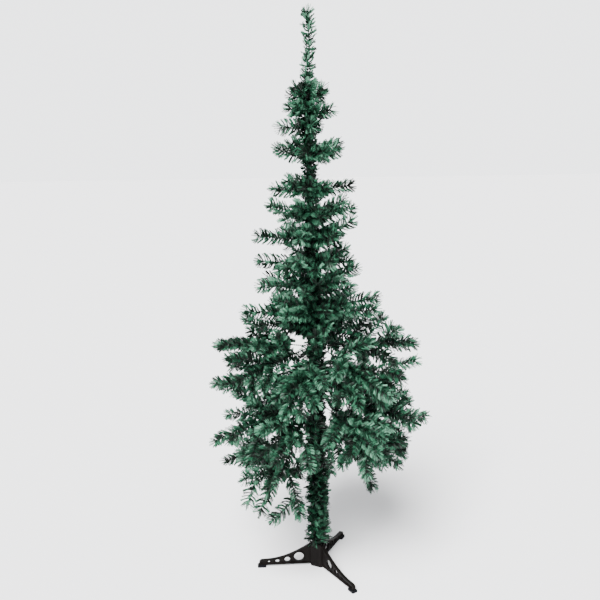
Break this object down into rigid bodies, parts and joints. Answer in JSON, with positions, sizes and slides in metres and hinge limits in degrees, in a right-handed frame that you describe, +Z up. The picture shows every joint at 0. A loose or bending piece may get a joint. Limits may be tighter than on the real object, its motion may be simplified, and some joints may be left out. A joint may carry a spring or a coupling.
{
  "type": "artificial christmas tree",
  "caption": "Undecorated artificial Christmas tree of tinsel needles on wire branches, with a slim pole and a low three-legged plastic stand.",
  "frame": {"origin": "centre of the stand hub's flat underside, on the floor, under the foot of the pole", "axes": "+Z up the pole, +X to the right and +Y away as seen in the picture's view, which looks along +Y"},
  "size_m": [0.5748, 0.5627, 1.4999],
  "materials": {
    "pine_tinsel": "dark green plastic film cut into soft needles, satin, lighter blue-green at the tips",
    "pole_paint": "dark green painted steel tube, semi-gloss",
    "branch_wire": "dark twisted steel wire, dull",
    "stand_plastic": "near-black brown moulded plastic, satin",
    "pad_rubber": "black rubber, matt"
  },
  "bodies": {
    "root": {"trunk_pole": "pole_paint", "stand_hub": "stand_plastic", "stand_leg_1": "stand_plastic", "stand_leg_2": "stand_plastic", "stand_leg_3": "stand_plastic", "foot_pad_1": "pad_rubber", "foot_pad_2": "pad_rubber", "foot_pad_3": "pad_rubber", "bough_ring_1": "stand_plastic", "bough_ring_2": "stand_plastic", "bough_ring_3": "stand_plastic", "foot_cover": "pine_tinsel", "pole_tinsel_1": "pine_tinsel", "pole_tinsel_2": "pine_tinsel", "whorl_01": "pine_tinsel", "whorl_02": "pine_tinsel", "whorl_03": "pine_tinsel", "whorl_04": "pine_tinsel", "whorl_05": "pine_tinsel", "whorl_06": "pine_tinsel", "whorl_07": "pine_tinsel", "whorl_08": "pine_tinsel", "whorl_09": "pine_tinsel", "whorl_10": "pine_tinsel", "whorl_11": "pine_tinsel", "leader": "pine_tinsel", "bough_01": "branch_wire", "bough_02": "branch_wire", "bough_03": "branch_wire", "bough_04": "branch_wire", "bough_05": "branch_wire", "bough_06": "branch_wire", "bough_07": "branch_wire", "bough_08": "branch_wire", "bough_09": "branch_wire", "bough_10": "branch_wire", "bough_11": "branch_wire", "bough_12": "branch_wire", "bough_13": "branch_wire", "bough_14": "branch_wire", "bough_15": "branch_wire", "bough_16": "branch_wire", "bough_17": "branch_wire", "spray_01": "pine_tinsel", "spray_02": "pine_tinsel", "spray_03": "pine_tinsel", "spray_04": "pine_tinsel", "spray_05": "pine_tinsel", "spray_06": "pine_tinsel", "spray_07": "pine_tinsel", "spray_08": "pine_tinsel", "spray_09": "pine_tinsel", "spray_10": "pine_tinsel", "spray_11": "pine_tinsel", "spray_12": "pine_tinsel", "spray_13": "pine_tinsel", "spray_14": "pine_tinsel", "spray_15": "pine_tinsel", "spray_16": "pine_tinsel", "spray_17": "pine_tinsel"}
  },
  "joints": []
}
